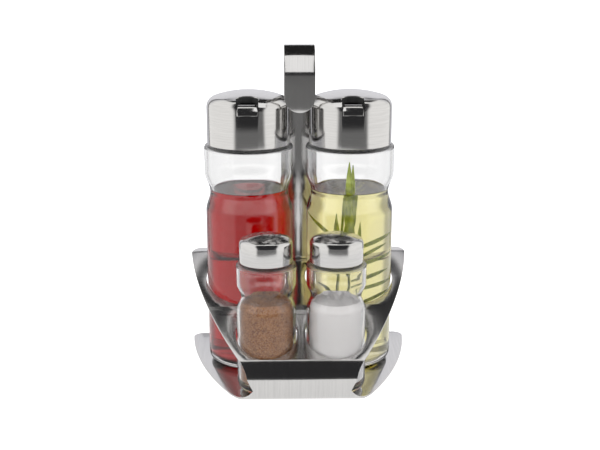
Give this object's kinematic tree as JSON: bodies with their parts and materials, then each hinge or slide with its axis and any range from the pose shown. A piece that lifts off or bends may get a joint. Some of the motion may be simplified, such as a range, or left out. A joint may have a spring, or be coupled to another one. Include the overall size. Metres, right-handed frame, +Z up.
{
  "type": "cruet set",
  "caption": "Folded steel rack with a hook handle that holds a vinegar bottle, an oil bottle, a pepper shaker and a salt shaker, each in its own hole.",
  "frame": {"origin": "on the table, under the middle of the rack's bounding box", "axes": "+Z up, the front with the two shakers faces -Y, +X to the right seen from the front"},
  "size_m": [0.1572, 0.13, 0.2228],
  "materials": {
    "brushed_steel": "stainless steel, brushed in one direction",
    "cap_steel": "stainless steel, brushed around the side",
    "rivet_steel": "stainless steel, plain",
    "clear_glass": "clear pressed glass",
    "red_vinegar": "clear red liquid",
    "yellow_oil": "clear yellow liquid",
    "herb_green": "fresh green leaf",
    "ground_pepper": "fine brown grains",
    "table_salt": "fine white grains",
    "black_plastic": "moulded, satin",
    "clear_seal": "translucent silicone",
    "white_plastic": "moulded, satin"
  },
  "bodies": {
    "rack": {"rack_sheet": "brushed_steel", "handle_strip": "brushed_steel", "handle_rivets": "rivet_steel"},
    "vinegar_bottle": {"vinegar_bottle": "clear_glass", "vinegar": "red_vinegar"},
    "vinegar_cap": {"vinegar_cap_shell": "cap_steel", "vinegar_pourer": "black_plastic", "vinegar_neck_seal": "clear_seal"},
    "oil_bottle": {"oil_bottle": "clear_glass", "oil": "yellow_oil", "herb_sprig": "herb_green"},
    "oil_cap": {"oil_cap_shell": "cap_steel", "oil_pourer": "black_plastic", "oil_neck_seal": "clear_seal"},
    "pepper_shaker": {"pepper_shaker": "clear_glass", "pepper": "ground_pepper"},
    "pepper_cap": {"pepper_cap_shell": "cap_steel", "pepper_cap_insert": "white_plastic"},
    "salt_shaker": {"salt_shaker": "clear_glass", "salt": "table_salt"},
    "salt_cap": {"salt_cap_shell": "cap_steel", "salt_cap_insert": "white_plastic"}
  },
  "joints": [
    {"name": "vinegar_bottle_lift", "type": "hinge", "parent": "rack", "child": "vinegar_bottle", "pos_m": [-0.6347, 0.02, 0.033], "axis": [0, -1, 0], "range_deg": [0, 19]},
    {"name": "vinegar_cap_lift", "type": "slide", "parent": "vinegar_bottle", "child": "vinegar_cap", "axis": [0, 0, 1], "range_m": [0, 0.024]},
    {"name": "oil_bottle_lift", "type": "hinge", "parent": "rack", "child": "oil_bottle", "pos_m": [0.6347, 0.02, 0.033], "axis": [0, 1, 0], "range_deg": [0, 19]},
    {"name": "oil_cap_lift", "type": "slide", "parent": "oil_bottle", "child": "oil_cap", "axis": [0, 0, 1], "range_m": [0, 0.024]},
    {"name": "pepper_shaker_lift", "type": "slide", "parent": "rack", "child": "pepper_shaker", "axis": [0, 0, 1], "range_m": [0, 0.12]},
    {"name": "pepper_cap_lift", "type": "slide", "parent": "pepper_shaker", "child": "pepper_cap", "axis": [0, 0, 1], "range_m": [0, 0.03]},
    {"name": "salt_shaker_lift", "type": "slide", "parent": "rack", "child": "salt_shaker", "axis": [0, 0, 1], "range_m": [0, 0.12]},
    {"name": "salt_cap_lift", "type": "slide", "parent": "salt_shaker", "child": "salt_cap", "axis": [0, 0, 1], "range_m": [0, 0.03]}
  ]
}
